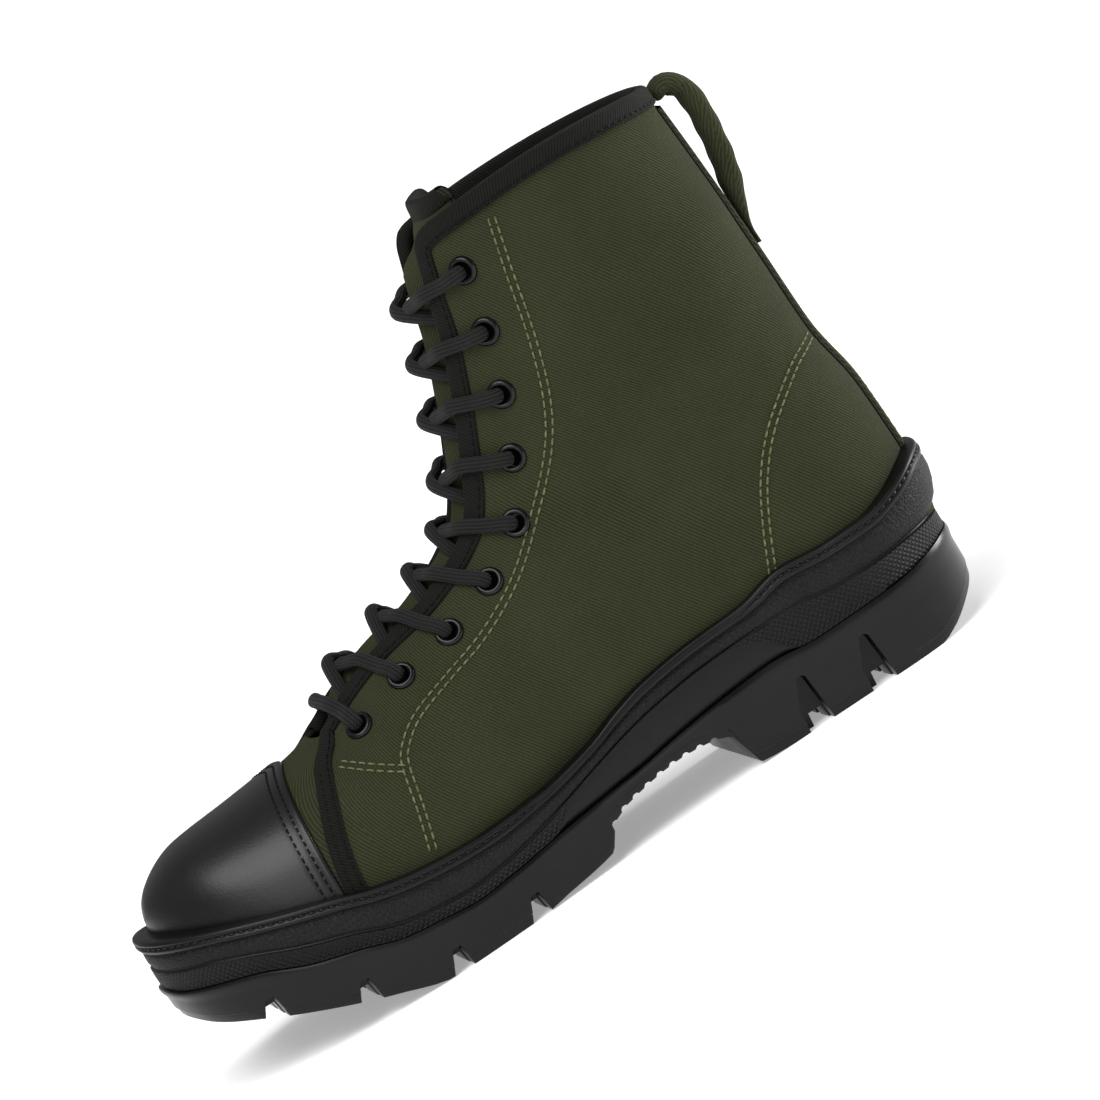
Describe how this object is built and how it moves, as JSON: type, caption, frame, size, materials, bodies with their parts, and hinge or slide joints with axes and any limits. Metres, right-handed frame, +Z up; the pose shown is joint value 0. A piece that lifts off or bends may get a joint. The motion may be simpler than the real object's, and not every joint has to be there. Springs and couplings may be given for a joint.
{
  "type": "jungle boot",
  "caption": "Empty left jungle boot, canvas upper with leather toe cap, taped collar and throat, laced open throat, tongue, rear pull loop and lugged rubber sole.",
  "frame": {"origin": "centre of the flat tread under the heel, on the floor", "axes": "+X toward the toe, +Y toward the wearer's left (the outer side), +Z up along the shaft"},
  "size_m": [0.3092, 0.111, 0.2142],
  "materials": {
    "outsole_rubber": "satin",
    "midsole_rubber": "matte",
    "insole_lining": "matte",
    "olive_canvas": "matte",
    "black_leather": "gloss",
    "black_tape": "matte",
    "eyelet_enamel": "satin",
    "black_lace": "matte"
  },
  "bodies": {
    "root": {"outsole": "outsole_rubber", "midsole": "midsole_rubber", "insole": "insole_lining", "upper": "olive_canvas", "toe_cap": "black_leather", "backstay": "olive_canvas", "tongue": "olive_canvas", "binding_left": "black_tape", "binding_right": "black_tape", "pull_loop": "olive_canvas", "eyelet_left_1": "eyelet_enamel", "eyelet_left_2": "eyelet_enamel", "eyelet_left_3": "eyelet_enamel", "eyelet_left_4": "eyelet_enamel", "eyelet_left_5": "eyelet_enamel", "eyelet_left_6": "eyelet_enamel", "eyelet_left_7": "eyelet_enamel", "eyelet_left_8": "eyelet_enamel", "eyelet_left_9": "eyelet_enamel", "eyelet_right_1": "eyelet_enamel", "eyelet_right_2": "eyelet_enamel", "eyelet_right_3": "eyelet_enamel", "eyelet_right_4": "eyelet_enamel", "eyelet_right_5": "eyelet_enamel", "eyelet_right_6": "eyelet_enamel", "eyelet_right_7": "eyelet_enamel", "eyelet_right_8": "eyelet_enamel", "eyelet_right_9": "eyelet_enamel", "lace_crossing_1": "black_lace", "lace_crossing_2": "black_lace", "lace_crossing_3": "black_lace", "lace_crossing_4": "black_lace", "lace_crossing_5": "black_lace", "lace_crossing_6": "black_lace", "lace_crossing_7": "black_lace", "lace_crossing_8": "black_lace", "lace_bar": "black_lace"}
  },
  "joints": []
}
